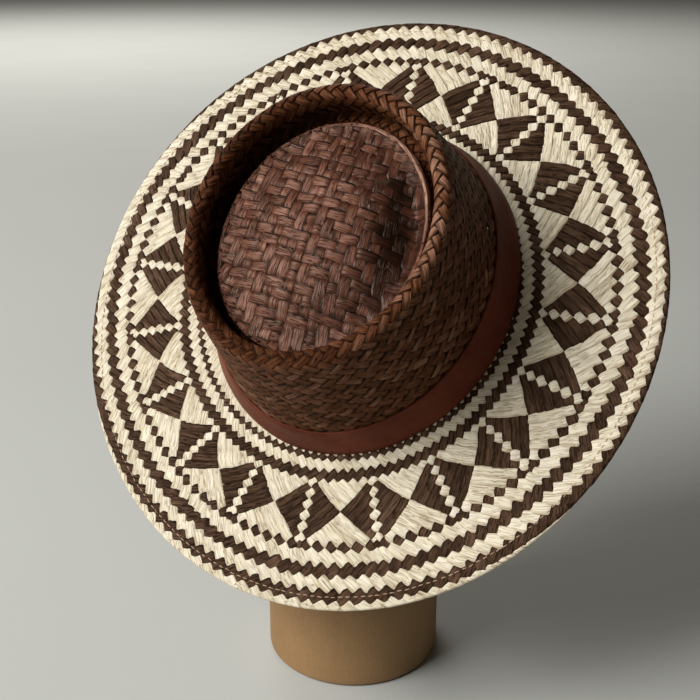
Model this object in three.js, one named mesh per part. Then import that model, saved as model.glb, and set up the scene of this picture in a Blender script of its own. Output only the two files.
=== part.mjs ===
// A woven straw hat with a telescope crown, hung over the top of a plain upright stand.
// Millimetres, +Z up, origin at the centre of the stand's foot.
import * as THREE from 'three';
import { mergeVertices } from 'three/addons/utils/BufferGeometryUtils.js';

// Driving dimensions
const around = 60;            // facets round every oval piece
const standAround = 48;       // facets round the stand
const seatGap = 0.3;          // between pieces that touch

const stand = { radius: 54, height: 297.4, footRound: 3, topRound: 1.5 };

// The hat's own frame has its origin at the middle of the brim's upper face, X to the wearer's
// side, Y along the head and Z out through the crown. This is where it hangs on the stand.
const hang = { x: 4, y: -1.3, z: 236, heading: -20.6, tilt: 53, spin: -9.8 };

const straw = 2;              // thickness of a straw wall
const brimEdge = { halfX: 170.5, halfY: 180.3 };
const hem = { width: 9.5, thick: 3.2, slope: 0.6, edgeSteps: 4 };
const brimRows = [1, 0.66, 0.33];   // where its rows lie, as shares of its width in from the edge
const brimBow = 2.2;          // the brim rises this much at the sides and falls at front and back
const crownShift = 2.9;       // the crown sits this far forward on the brim

const band = { height: 21, thick: 1.2, softEdge: 0.4, rows: [3, 11, 20] };

// The crown's outer face, from its foot, up the wall, over the rim, down into the groove and up to
// the domed tip. Each row is a corner of the section, rounded by its fillet.
const crownCorners = [
  { name: 'foot', halfX: 90.6, halfY: 100.8, z: -straw, fillet: 0, steps: 0 },
  { name: 'bandFoot', halfX: 88.9, halfY: 99.2, z: 0.5, fillet: 8, steps: 2 },
  { name: 'bandTop', halfX: 76.9, halfY: 91.9, z: 21, fillet: 30, steps: 2 },
  { name: 'rimOutside', halfX: 68.4, halfY: 77.4, z: 93.4, fillet: 5, steps: 4 },
  { name: 'rimInside', halfX: 60.2, halfY: 68.8, z: 93.4, fillet: 4.6, steps: 4 },
  { name: 'grooveOutside', halfX: 59.2, halfY: 68.6, z: 72.6, fillet: 2.4, steps: 2 },
  { name: 'grooveInside', halfX: 54.9, halfY: 64.4, z: 72.6, fillet: 2.4, steps: 2, inTip: true },
  { name: 'tipEdge', halfX: 54.4, halfY: 63.9, z: 81.6, fillet: 2.8, steps: 3, inTip: true },
  { name: 'tipValley', halfX: 47, halfY: 57, z: 81.2, fillet: 3, steps: 1, inTip: true },
  { name: 'tipField', halfX: 26, halfY: 32, z: 86.2, fillet: 0, steps: 0, inTip: true },
];
const tipTop = 87.8;
const tipOffset = { aside: 1.8, forward: -3.2 };   // the tip isn't in the middle of the rim
const wallStep = 26;          // longest straight facet up the crown's wall

// Colours
const brownStraw = new THREE.MeshStandardMaterial({ color: 0x523528, roughness: 0.62, metalness: 0 });
const brimStraw = new THREE.MeshStandardMaterial({ color: 0xa3957a, roughness: 0.6, metalness: 0 });
const bandLeather = new THREE.MeshStandardMaterial({ color: 0x5b3029, roughness: 0.5, metalness: 0 });
const standBoard = new THREE.MeshStandardMaterial({ color: 0x8a6c45, roughness: 0.75, metalness: 0 });

const degrees = THREE.MathUtils.degToRad;
const mix = THREE.MathUtils.lerp;

// A section row is { r, z, oval, aside, shift, bow }: its mean radius, its height, how much longer it
// is than wide (half the difference), where its centre lies in X and Y, and its rise at the sides.
function sectionRow(corner, extra = {}) {
  return {
    r: (corner.halfX + corner.halfY) / 2,
    z: corner.z,
    oval: (corner.halfY - corner.halfX) / 2,
    aside: 0,
    shift: 0,
    bow: 0,
    ...extra,
  };
}

function mixRows(a, b, t) {
  const row = {};
  for (const key of ['r', 'z', 'oval', 'aside', 'shift', 'bow']) row[key] = mix(a[key], b[key], t);
  return row;
}

// Rounds one corner of a section between its neighbours with a quadratic curve.
function roundedCorner(before, corner, after, fillet, steps) {
  const reach = (other) => Math.hypot(other.r - corner.r, other.z - corner.z);
  const from = mixRows(corner, before, Math.min(0.5, fillet / reach(before)));
  const to = mixRows(corner, after, Math.min(0.5, fillet / reach(after)));
  const rows = [];
  for (let i = 0; i <= steps; i++) {
    const t = i / steps;
    rows.push(mixRows(mixRows(from, corner, t), mixRows(corner, to, t), t));
  }
  return rows;
}

// Adds rows along straight stretches so that no facet is longer than the given step.
function subdivided(rows, step) {
  const out = [rows[0]];
  for (let i = 1; i < rows.length; i++) {
    const count = Math.max(1, Math.ceil(Math.hypot(rows[i].r - rows[i - 1].r, rows[i].z - rows[i - 1].z) / step));
    for (let k = 1; k <= count; k++) out.push(mixRows(rows[i - 1], rows[i], k / count));
  }
  return out;
}

// The same section moved square to itself by a distance, to its right when walking along it.
function offsetSection(rows, distance) {
  return rows.map((row, i) => {
    const before = rows[Math.max(0, i - 1)];
    const after = rows[Math.min(rows.length - 1, i + 1)];
    const dr = after.r - before.r;
    const dz = after.z - before.z;
    const length = Math.hypot(dr, dz);
    return { ...row, r: row.r + (dz / length) * distance, z: row.z - (dr / length) * distance };
  });
}

// Turns a section into an oval solid: a lathe whose rings are then moved to their own ovals.
function ovalSolid(rows) {
  const profile = rows.map((row) => new THREE.Vector2(row.r, row.z));
  const lathe = new THREE.LatheGeometry(profile, around);
  const position = lathe.getAttribute('position');
  for (let i = 0; i <= around; i++) {
    const angle = ((i % around) / around) * 2 * Math.PI;
    rows.forEach((row, j) => {
      const onAxis = row.r === 0;
      const x = row.aside + (onAxis ? 0 : (row.r - row.oval) * Math.cos(angle));
      const y = row.shift + (onAxis ? 0 : (row.r + row.oval) * Math.sin(angle));
      const z = onAxis ? row.z : row.z + row.bow * Math.cos(2 * angle);
      position.setXYZ(i * rows.length + j, x, y, z);
    });
  }
  return closedSolid(lathe);
}

// Merges shared corners, drops the triangles that closed up on the axis, and faces them outwards.
function closedSolid(geometry) {
  geometry.deleteAttribute('normal');
  geometry.deleteAttribute('uv');
  const merged = mergeVertices(geometry, 1e-4);
  const corners = merged.getIndex().array;
  const kept = [];
  for (let i = 0; i < corners.length; i += 3) {
    const [a, b, c] = [corners[i], corners[i + 1], corners[i + 2]];
    if (a !== b && b !== c && c !== a) kept.push(a, b, c);
  }
  merged.setIndex(kept);
  if (signedVolume(merged) < 0) {
    for (let i = 0; i < kept.length; i += 3) [kept[i + 1], kept[i + 2]] = [kept[i + 2], kept[i + 1]];
    merged.setIndex(kept);
  }
  merged.computeVertexNormals();
  return merged;
}

function signedVolume(geometry) {
  const position = geometry.getAttribute('position');
  const corners = geometry.getIndex().array;
  const [a, b, c] = [new THREE.Vector3(), new THREE.Vector3(), new THREE.Vector3()];
  let volume = 0;
  for (let i = 0; i < corners.length; i += 3) {
    a.fromBufferAttribute(position, corners[i]);
    b.fromBufferAttribute(position, corners[i + 1]);
    c.fromBufferAttribute(position, corners[i + 2]);
    volume += a.dot(b.cross(c)) / 6;
  }
  return volume;
}

function named(name, geometry, material) {
  const mesh = new THREE.Mesh(geometry, material);
  mesh.name = name;
  return mesh;
}

// Crown
function crownCentre(inTip) {
  if (!inTip) return { shift: crownShift };
  return { aside: tipOffset.aside, shift: crownShift + tipOffset.forward };
}

function crownOuter() {
  const corners = crownCorners.map((corner) => sectionRow(corner, crownCentre(corner.inTip)));
  const rows = [];
  corners.forEach((corner, i) => {
    const { fillet, steps } = crownCorners[i];
    if (fillet === 0) rows.push(corner);
    else rows.push(...roundedCorner(corners[i - 1], corner, corners[i + 1], fillet, steps));
  });
  return subdivided(rows, wallStep);
}

function crown() {
  const outer = crownOuter();
  const inner = offsetSection(outer, -straw);
  inner[0].z = outer[0].z;
  const centre = (z) => ({ r: 0, z, oval: 0, bow: 0, ...crownCentre(true) });
  const section = [centre(tipTop - straw), ...inner.reverse(), ...outer, centre(tipTop)];
  return named('crown', ovalSolid(section), brownStraw);
}

// The crown's outer face at a height on its wall, pushed out by a distance.
function crownWallAt(z, out) {
  const wall = crownOuter();
  const next = wall.findIndex((row) => row.z >= z);
  const [a, b] = [wall[Math.max(0, next - 1)], wall[Math.max(1, next)]];
  const row = mixRows(a, b, (z - a.z) / (b.z - a.z));
  return { ...row, r: row.r + out };
}

// Brim
function brim() {
  const edge = sectionRow({ ...brimEdge, z: 0 }, { bow: brimBow });
  const inside = { ...crownWallAt(-straw, seatGap), z: 0 };
  const width = edge.r - inside.r;
  const at = (inset, z) => {
    const t = 1 - inset / width;
    return { ...mixRows(inside, edge, t), z, bow: brimBow * t * t };
  };
  const round = hem.thick / 2;
  const foldedEdge = [];
  for (let i = 0; i <= hem.edgeSteps; i++) {
    const angle = (i / hem.edgeSteps) * Math.PI;
    foldedEdge.push(at(round * (1 - Math.sin(angle)), round * (Math.cos(angle) - 1)));
  }
  const section = [
    ...brimRows.map((share) => at(width * share, 0)),
    ...foldedEdge,
    at(hem.width, -hem.thick),
    at(hem.width + hem.slope, -straw),
    ...brimRows.toReversed().map((share) => at(width * share, -straw)),
    at(width, 0),
  ];
  return named('brim', ovalSolid(section), brimStraw);
}

// Band
function hatBand() {
  const heights = [seatGap, ...band.rows, band.height];
  const inner = heights.map((z) => ({ ...crownWallAt(z, seatGap), z }));
  const outer = inner.map((row, i) => {
    const atEnd = i === 0 || i === heights.length - 1;
    return { ...row, r: row.r + band.thick - (atEnd ? band.softEdge : 0) };
  });
  const section = [...outer, ...inner.reverse(), outer[0]];
  return named('hat_band', ovalSolid(section), bandLeather);
}

// Stand
function standPost() {
  const { radius, height, footRound, topRound } = stand;
  const outline = new THREE.Path();
  outline.moveTo(0, 0);
  outline.lineTo(radius - footRound, 0);
  outline.absarc(radius - footRound, footRound, footRound, -Math.PI / 2, 0, false);
  outline.lineTo(radius, height - topRound);
  outline.absarc(radius - topRound, height - topRound, topRound, 0, Math.PI / 2, false);
  outline.lineTo(0, height);
  const lathe = new THREE.LatheGeometry(outline.getPoints(3), standAround);
  lathe.rotateX(Math.PI / 2);
  return named('stand', closedSolid(lathe), standBoard);
}

const hat = new THREE.Group();
hat.add(crown(), brim(), hatBand());
hat.rotation.z = degrees(hang.spin);

const tilted = new THREE.Group();
tilted.add(hat);
tilted.rotation.x = degrees(hang.tilt);

const headed = new THREE.Group();
headed.add(tilted);
headed.position.set(hang.x, hang.y, hang.z);
headed.rotation.z = degrees(hang.heading);

const strawHatOnStand = new THREE.Group();
strawHatOnStand.add(headed, standPost());

export default strawHatOnStand;
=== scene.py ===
# A plaited straw hat with a telescope crown, hung over a plain round stand.
import math

import bpy
import numpy as np
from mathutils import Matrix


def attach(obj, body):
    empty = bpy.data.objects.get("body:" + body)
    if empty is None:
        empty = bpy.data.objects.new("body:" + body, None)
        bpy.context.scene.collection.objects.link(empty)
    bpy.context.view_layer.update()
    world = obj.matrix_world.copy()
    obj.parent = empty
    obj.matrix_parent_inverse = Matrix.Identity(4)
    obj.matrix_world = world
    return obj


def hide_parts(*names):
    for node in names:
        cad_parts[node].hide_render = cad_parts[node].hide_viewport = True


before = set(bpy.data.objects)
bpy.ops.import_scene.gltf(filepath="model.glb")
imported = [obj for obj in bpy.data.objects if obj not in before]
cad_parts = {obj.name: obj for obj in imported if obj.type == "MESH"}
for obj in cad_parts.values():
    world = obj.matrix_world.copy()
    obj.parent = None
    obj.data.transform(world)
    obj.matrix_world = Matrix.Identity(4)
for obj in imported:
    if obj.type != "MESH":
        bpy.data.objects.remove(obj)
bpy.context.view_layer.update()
rng = np.random.default_rng(20)
mm = 0.001

# Camera first: where the photo was taken from, over the table and a little above the hat
camera = {"place": (-0.002, -0.580, 0.4156), "pitchDown": 20.5, "focalPixels": 1050, "photoPixels": 700}
cameraData = bpy.data.cameras.new("photoCamera")
cameraData.sensor_width = 36
cameraData.lens = camera["focalPixels"] / camera["photoPixels"] * cameraData.sensor_width
cameraObject = bpy.data.objects.new("photoCamera", cameraData)
cameraObject.location = camera["place"]
cameraObject.rotation_euler = (math.radians(90 - camera["pitchDown"]), 0, 0)
bpy.context.collection.objects.link(cameraObject)
bpy.context.scene.camera = cameraObject
print("camera placed")

# The hat's own frame, in millimetres: origin mid-brim, Y along the head, Z out through the crown
hang = {"x": 4, "y": -1.3, "z": 236, "heading": -20.6, "tilt": 53, "spin": -9.8}
wall = {"thick": 1.8, "crownShift": 2.9}


def turn(axis, angle):
    c, s = math.cos(math.radians(angle)), math.sin(math.radians(angle))
    if axis == "Z":
        return np.array([[c, -s, 0], [s, c, 0], [0, 0, 1]])
    return np.array([[1, 0, 0], [0, c, -s], [0, s, c]])


hangTurn = turn("Z", hang["heading"]) @ turn("X", hang["tilt"]) @ turn("Z", hang["spin"])
hangPlace = np.array([hang["x"], hang["y"], hang["z"]])


def hatToScene(points):
    return (points @ hangTurn.T + hangPlace) * mm


def smooth(t):
    t = np.clip(t, 0, 1)
    return t * t * (3 - 2 * t)


def toPiece(mesh, material):
    mesh.shade_smooth()
    mesh.materials.append(material)
    piece = bpy.data.objects.new(mesh.name, mesh)
    bpy.context.collection.objects.link(piece)
    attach(piece, "root")
    return piece


# Meshes are gathered as arrays: a bundle holds many small closed ribbons and becomes one object
class Bundle:
    def __init__(self, section):
        self.section = section
        self.points, self.faces, self.sizes, self.uvs = [], [], [], []
        self.tone, self.lift, self.paintedLight = [], [], []
        self.count = 0

    def addRings(self, rings, along, across, tone, lift, paintedLight):
        # rings: (steps, sides, 3) points; the two ends are closed with one face each
        steps, sides = rings.shape[:2]
        index = self.count + np.arange(steps * sides).reshape(steps, sides)
        nextSide = np.roll(index, -1, axis=1)
        quads = np.stack([index[:-1], nextSide[:-1], nextSide[1:], index[1:]], -1).reshape(-1, 4)
        self.points.append(rings.reshape(-1, 3))
        self.faces += [quads.ravel(), index[0, ::-1], index[-1]]
        self.sizes += [np.full(len(quads), 4), [sides], [sides]]
        u = np.repeat(along[:, None], sides, 1)
        v = np.repeat(np.asarray(across)[None], steps, 0)
        self.uvs.append(np.stack([u, v], -1).reshape(-1, 2))
        self.tone.append(np.repeat(tone, sides))
        self.lift.append(np.repeat(lift, sides))
        self.paintedLight.append(np.repeat(paintedLight, sides))
        self.count += steps * sides

    def toObject(self, name, material, mirrored=False):
        points = hatToScene(np.concatenate(self.points))
        corners = np.concatenate(self.faces).astype(np.int32)
        sizes = np.concatenate(self.sizes).astype(np.int32)
        mesh = bpy.data.meshes.new(name)
        mesh.vertices.add(len(points))
        mesh.vertices.foreach_set("co", points.astype(np.float32).ravel())
        mesh.loops.add(len(corners))
        mesh.loops.foreach_set("vertex_index", corners)
        mesh.polygons.add(len(sizes))
        mesh.polygons.foreach_set("loop_start", (np.cumsum(sizes) - sizes).astype(np.int32))
        mesh.update(calc_edges=True)
        uvLayer = mesh.uv_layers.new(name="strand")
        uvs = np.concatenate(self.uvs)[corners]
        uvLayer.data.foreach_set("uv", uvs.astype(np.float32).ravel())
        ends = np.empty(len(mesh.edges) * 2, np.int32)
        mesh.edges.foreach_get("vertices", ends)
        lengthwise = np.abs(ends[::2] - ends[1::2]) == len(self.section)
        sharp = mesh.attributes.new("sharp_edge", "BOOLEAN", "EDGE")
        sharp.data.foreach_set("value", lengthwise)
        # tone, weave level and painted light and shade go to the material per point
        for key, values in (("tone", self.tone), ("lift", self.lift), ("paintedLight", self.paintedLight)):
            layer = mesh.attributes.new(key, "FLOAT", "POINT")
            layer.data.foreach_set("value", np.concatenate(values).astype(np.float32))
        if not mirrored:
            mesh.flip_normals()
        return toPiece(mesh, material)


# Sections of a strand (across, height): flat with thin edges, and one that can fold along its middle
flatSection = np.array([(-1, 0), (-0.75, 0.9), (0.75, 0.9), (1, 0), (0.75, -0.9), (-0.75, -0.9)])
foldedSection = np.array([
    (-1, 0), (-0.7, 0.85), (0, 1), (0.7, 0.85), (1, 0), (0.7, -0.85), (0, -0.9), (-0.7, -0.85)])

# The straw itself, the same in every plait
straw = {
    "edgeWander": 0.7, "faceWander": 0.6, "twist": 1.2,  # shares of a strand's crumple
    "toneSpread": 0.22, "floatTone": 0.12,  # between strands, and along one
    # tone limits, then how strongly the painted highlights and shade show on a strand
    "darkest": 0.05, "palest": 0.95, "paintedLightShare": 0.5,
    "turnFrom": 0.2, "turnOver": 0.6,  # where between two crossings it goes from under to over
    "mapReach": 900, "mapTilt": 0.2,
}


def wander(count, size, reach=3):
    # a slow seeded wobble along a strand
    knots = rng.normal(0, size, count // reach + 3)
    return np.interp(np.arange(count) / reach, np.arange(len(knots)), knots)


def addStrand(bundle, surface, u, v, scaleU, height, width, thick, looks, crumple, roll=0, squared=0):
    # u, v follow the strand over a surface; scaleU is the millimetres in one unit of u
    # looks holds its tone, how high it floats and the painted light and shade laid on it; crumple is its
    # unevenness in mm
    # roll is how far one edge lies over the next strand's, in mm; squared turns its sections from
    # square to the strand (0) to along u (1), for a fold that runs there
    count = len(u)
    crumple = np.broadcast_to(crumple, count)
    du, dv = np.gradient(u) * scaleU, np.gradient(v)
    length = np.hypot(du, dv)
    sideU, sideV = -dv / length, du / length
    if np.any(squared):
        sideU, sideV = sideU + squared * (1 / sideU - sideU), sideV * (1 - squared)
    along = np.concatenate([[0], np.cumsum(np.hypot(np.diff(u) * scaleU[1:], np.diff(v)))])
    section = bundle.section
    across = section[None, :, 0] * width[:, None] / 2
    edges = np.stack([wander(count, 1, 2) for _ in section], -1)
    across = across + crumple[:, None] * straw["edgeWander"] * edges
    thick = np.broadcast_to(thick, count)[:, None]
    rolled = roll + crumple * wander(count, straw["twist"])
    up = section[None, :, 1] * thick / 2 + rolled[:, None] * section[None, :, 0]
    faces = np.stack([wander(count, 1) for _ in section], -1)
    up = up + crumple[:, None] * straw["faceWander"] * faces
    ringU = u[:, None] + across * (sideU / scaleU)[:, None]
    ringV = v[:, None] + across * sideV[:, None]
    rings = surface(ringU, ringV, height[:, None] + up)
    mapAcross = section[:, 0] + section[:, 1] * straw["mapTilt"]
    bundle.addRings(rings, along + rng.uniform(0, straw["mapReach"]), mapAcross, *looks)


def weaveLevel(t, first, over, longer=0):
    # t counts crossings; over holds +1 or -1 at each whole crossing from first on, and longer is
    # how much of a crossing each float gains at its ends
    low = np.clip(np.floor(t).astype(int) - first, 0, len(over) - 2)
    late = longer * (over[low] - over[low + 1]) / 2
    share = smooth((t - first - low - straw["turnFrom"] - late) / straw["turnOver"])
    return over[low] * (1 - share) + over[low + 1] * share


def strandTone(t, first, over):
    # one tone for the whole strand and a little more for each float
    floats = rng.normal(0, straw["floatTone"], len(over))
    perFloat = np.interp(t, np.arange(first, first + len(over)), floats)
    tone = 0.5 + straw["toneSpread"] * rng.normal() + perFloat
    return np.clip(tone, straw["darkest"], straw["palest"])


def strandWidth(sideways, pitch):
    # how wide a strand is that runs on by one pitch while it goes half a column sideways
    return sideways * pitch / np.hypot(sideways / 2, pitch)


# Brim: rings of a two-colour bias plait, folded under at the edge
brim = {
    "halfX": 170.5, "halfY": 180.3, "frontReach": 1.4, "bow": 2.2, "ringOval": 2.25,
    "bowFrom": 95, "bowOver": 80, "insideX": 87.2, "insideY": 97.4, "foldRadius": 0.85, "hemWidth": 8.6,
    "motifs": 20, "phase": 8.81, "spreadAt": 11, "relaxRings": 4.5, "columns": 6, "outerColumns": 7,
    "firstRing": 111.2, "pitchInside": 2.9, "pitchMotif": 3.02, "pitchOutside": 3.36,
    "ringFrom": -9, "foldFrom": 18, "foldTo": 22, "ringTo": 27,
    "addedEarly": 0.7, "addedStep": 0.5, "edgeSearch": (150.0, 200.0), "searchSteps": 30,
    "thick": 0.86, "lift": 0.43, "narrow": 0.88, "crumple": 0.13, "roll": 0.14,
    "heightWander": 0.05, "sideWander": 0.2, "widthWander": 0.05, "kindTone": 0.16,
    "outerRows": 12.3,  # from this ring on the floats differ more
    "creamWide": 0.38, "creamLonger": 0.06, "creamSingleWide": 0.1, "creamOuterWide": 0.1,
    "brownWide": 0.24, "brownShorter": 0.16, "brownSingleWide": 0.2, "brownOuterWide": 0.24,
    "brownSingleLonger": 0.3, "longer": 0.02,
    "edgeFrom": 1.5, "edgeReach": 3.5, "edgeCalm": 0.45, "edgeWide": 1.1, "edgeThin": 0.6,
    "squareBefore": 3, "squareOver": 2.6,  # sections turn to run along the edge before the fold
}
creamRings = {-8, -7, -6, -4, -3, 12, 13, 16, 17, 20, 21, 22, 25, 26}
# The plait isn't true to the hat: how far its rings lie out in mm, evenly, towards +X and +Y, and
# at the four corners that it was started from
ringDrift = [
    {"ring": 3, "even": 0.8, "right": -4.4, "back": 0.0, "corners": 0.0},
    {"ring": 8, "even": 1.4, "right": -2.3, "back": 1.1, "corners": 0.8},
    {"ring": 15, "even": 3.2, "right": -1.5, "back": 1.7, "corners": 1.1},
    {"ring": 20, "even": 3.4, "right": -1.1, "back": 2.6, "corners": 1.0},
]
cornerTurn = 6.0
lateSpread = {3: 4, 8: 4, 13: 4}  # motifs whose added strand starts off the cream column
circle, outerCircle = brim["columns"] * brim["motifs"], brim["outerColumns"] * brim["motifs"]


def ringRadius(k):
    k = np.asarray(k, float)
    atSpread = brim["firstRing"] + brim["pitchMotif"] * brim["spreadAt"]
    return np.where(
        k < 0, brim["firstRing"] + brim["pitchInside"] * k,
        np.where(k < brim["spreadAt"], brim["firstRing"] + brim["pitchMotif"] * k,
                 atSpread + brim["pitchOutside"] * (k - brim["spreadAt"])))


def driftedRadius(angle, k):
    rings = [row["ring"] for row in ringDrift]
    even, right, back, corners = (np.interp(k, rings, [row[key] for row in ringDrift])
                                  for key in ("even", "right", "back", "corners"))
    square = corners * np.cos(4 * (angle - math.radians(cornerTurn)))
    return ringRadius(k) + even + right * np.cos(angle) + back * np.sin(angle) + square


def creamOver(column, ring):
    # the chart: one motif is six columns wide, its cream column at 0 and its pinwheel at 3, ring 5
    if ring < 0 or ring > 10:
        return ring in creamRings
    fromMiddle = abs(column % brim["columns"] - 3)
    creamColumn = fromMiddle == 3 and ring % 2 == 0
    upper = ring >= 6 and fromMiddle <= (ring - 6) / 2
    lower = ring <= 4 and fromMiddle <= (4 - ring) / 2
    return creamColumn or upper or lower


# Outside the motifs each one has seven columns: where their middles lie in the six-column count
spreadNodes = [0.0]
spreadColumns = [-0.5]
for motif in range(brim["motifs"]):
    added = lateSpread.get(motif, 0)
    for place in range(1, brim["outerColumns"] + 1):
        before = place - 0.5
        column = before if place <= added else (added if place == added + 1 else before - 1)
        spreadNodes.append(brim["outerColumns"] * motif + place)
        spreadColumns.append(brim["columns"] * motif + column)
spreadNodes.append(outerCircle + 1)
spreadColumns.append(circle)
spreadNodes, spreadColumns = np.array(spreadNodes, float), np.array(spreadColumns, float)


def outerColumn(u, ring):
    # the column count, in sixths of a motif, of an outer strand: crowded at the spread, then even
    wraps = np.floor((u - 1) / outerCircle)
    inside = u - wraps * outerCircle
    crowded = np.interp(inside, spreadNodes, spreadColumns) + wraps * circle
    even = (u - 1) * circle / outerCircle
    share = smooth((ring - brim["spreadAt"]) / brim["relaxRings"])
    return crowded * (1 - share) + even * share


def brimAngle(column):
    return np.radians(column * 360 / circle + brim["phase"])


def brimHalfY(y):
    # the brim reaches a little further out at the front
    return np.where(y < 0, brim["halfY"] + brim["frontReach"], brim["halfY"])


def brimSurface(angle, radius, height):
    x = (radius - brim["ringOval"]) * np.cos(angle)
    y = (radius + brim["ringOval"]) * np.sin(angle)
    half = wall["thick"] / 2
    fold = brim["foldRadius"]
    foldX, foldY = brim["halfX"] - fold - half, brimHalfY(y) - fold - half
    q = np.hypot(x / foldX, y / foldY)
    reach = np.hypot(x, y)
    past = reach * (q - 1) / q
    bend = np.clip(past / fold, 0, math.pi)
    straight = np.clip(past - math.pi * fold, 0, None)
    shrink = np.where(past > 0, (reach - past + (fold + height) * np.sin(bend) - straight) / reach, 1)
    z = np.where(past > 0, -fold + (fold + height) * np.cos(bend), height) - half
    t = np.clip((reach - brim["bowFrom"]) / brim["bowOver"], 0, 1)
    z = z + brim["bow"] * t * t * np.cos(2 * np.arctan2(y, x))
    return np.stack([x * shrink, y * shrink, z], -1)


def brimEdgeRadius(angle, inset):
    # mean ring radius where the brim's edge oval, moved in by inset, is met
    low, high = (np.full_like(angle, end) for end in brim["edgeSearch"])
    for _ in range(brim["searchSteps"]):
        middle = (low + high) / 2
        x = (middle - brim["ringOval"]) * np.cos(angle)
        y = (middle + brim["ringOval"]) * np.sin(angle)
        outside = np.hypot(x / (brim["halfX"] - inset), y / (brimHalfY(y) - inset)) > 1
        high = np.where(outside, middle, high)
        low = np.where(outside, low, middle)
    return low


def insideBrim(angle, radius):
    x = (radius - brim["ringOval"]) * np.cos(angle)
    y = (radius + brim["ringOval"]) * np.sin(angle) - wall["crownShift"]
    return np.hypot(x / brim["insideX"], y / brim["insideY"])


def outerStep(u, ring):
    # how far apart the strands of one lean lie there, in columns
    return (outerColumn(u + 1, ring) - outerColumn(u - 1, ring)) / 2


def brimStrand(start, lean, added=None):
    # start is the column at ring 0, lean +1 (cream) or -1 (brown), added where a strand joins at the spread
    spread = brim["spreadAt"]
    foldFrom, foldTo = brim["foldFrom"], brim["foldTo"]
    # three places in each ring, and six round the fold
    ring = np.concatenate([
        np.arange(3 * brim["ringFrom"], 3 * foldFrom) / 3,
        np.arange(6 * foldFrom, 6 * foldTo) / 6,
        np.arange(3 * foldTo, 3 * brim["ringTo"] + 1) / 3])
    if added is None:
        atSpread = start + lean * spread / 2
        node = round(float(np.interp(atSpread % circle, spreadColumns, spreadNodes)))
        node += math.floor(atSpread / circle) * outerCircle
        columnIn = start + lean * ring / 2
    else:
        node = added
        ring = ring[ring > spread - brim["addedEarly"]]
        columnIn = np.interp(added, spreadNodes, spreadColumns) + lean * (ring - spread) / 2
    outer = node + lean * (ring - spread) / 2
    past = np.maximum(ring, spread)
    column = np.where(ring < spread, columnIn, outerColumn(outer, past))
    step = np.where(ring < spread, 1 if added is None else brim["addedStep"], outerStep(outer, past))
    angle = brimAngle(column)
    radius = driftedRadius(angle, ring)
    fold = brim["foldRadius"]
    pastFold = radius - brimEdgeRadius(angle, fold + wall["thick"] / 2)
    keep = (insideBrim(angle, radius) > 1) & (pastFold < math.pi * fold + brim["hemWidth"])
    ring, angle, radius, step, pastFold = (row[keep] for row in (ring, angle, radius, step, pastFold))
    first = math.floor(ring[0])
    crossings = np.arange(first, math.ceil(ring[-1]) + 2)
    cream = np.array([creamOver(start + lean * k / 2, int(k)) for k in crossings])
    over = np.where(cream == (lean > 0), 1.0, -1.0)
    if added is not None:
        over[0] = -1  # its end is tucked under
    pitch = driftedRadius(angle, ring + 0.5) - driftedRadius(angle, ring - 0.5)
    width = strandWidth(2 * math.pi * radius / circle * step, pitch)
    fromEdge = np.abs(pastFold - math.pi * fold / 2)
    nearEdge = 1 - smooth((fromEdge - brim["edgeFrom"]) / brim["edgeReach"])
    squared = smooth((pastFold + brim["squareBefore"]) / brim["squareOver"])
    return ring, angle, radius, width, first, over, nearEdge, squared


def softened(values):
    return np.convolve(np.pad(values, 2, mode="edge"), [0.1, 0.2, 0.4, 0.2, 0.1], mode="valid")


def floatKinds(over):
    # which crossings are floats of one crossing alone, and which are in floats of three or more
    run = np.zeros(len(over))
    ends = np.flatnonzero(np.diff(np.concatenate([[-1], over, [-1]])) != 0)
    for a, b in zip(ends[::2], ends[1::2]):
        run[a:b] = b - a
    return (run == 1).astype(float), (run > 2).astype(float)


def buildBrim(creamMaterial, brownMaterial):
    bundles = {1: Bundle(flatSection), -1: Bundle(flatSection)}
    for lean, bundle in bundles.items():
        starts = [(start, None) for start in range(circle)]
        starts += [(0, brim["outerColumns"] * motif + lateSpread.get(motif, 0) + 1)
                   for motif in range(brim["motifs"])]
        for start, added in starts:
            ring, angle, radius, width, first, over, nearEdge, squared = brimStrand(start, lean, added)
            count = len(ring)
            single, long = (np.interp(ring, np.arange(first, first + len(over)), kind)
                            for kind in floatKinds(over))
            outer = ring > brim["outerRows"]
            longer = np.where(outer, brim["creamLonger"] if lean > 0 else -brim["brownShorter"],
                              lean * brim["longer"])
            if lean < 0:
                longer = longer + brim["brownSingleLonger"] * single
            level = weaveLevel(ring, first, over, longer)
            calm = 1 - brim["edgeCalm"] * nearEdge
            height = (brim["lift"] * level + wander(count, brim["heightWander"])) * calm
            angle = angle + wander(count, brim["sideWander"]) / radius
            wide = (brim["creamWide"] if lean > 0 else brim["brownWide"]) * (0.5 + 0.5 * level)
            width = softened(width) * (brim["narrow"] + wide + wander(count, brim["widthWander"]))
            width = width * (1 + nearEdge * (brim["edgeWide"] - 1))
            tone = strandTone(ring, first, over)
            if lean > 0:
                # single cream floats are paler and long ones yellower
                tone = tone + brim["kindTone"] * (single - long)
                width = width * (1 + brim["creamSingleWide"] * single + brim["creamOuterWide"] * outer)
            else:
                outerWide = brim["brownOuterWide"] * outer * (1 - single)
                width = width * (1 + brim["brownSingleWide"] * single + outerWide)
            looks = (tone, level, np.zeros(count))
            thick = brim["thick"] * (1 - brim["edgeThin"] * nearEdge)
            addStrand(bundle, brimSurface, angle, radius, radius, height, width, thick, looks,
                      brim["crumple"] * calm, brim["roll"] * calm, squared)
    cream = bundles[1].toObject("brimCreamStrands", creamMaterial, mirrored=True)
    brown = bundles[-1].toObject("brimBrownStrands", brownMaterial, mirrored=True)
    for piece in (cream, brown):
        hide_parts("brim")
    print("brim plaited,", bundles[1].count + bundles[-1].count, "points")


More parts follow.
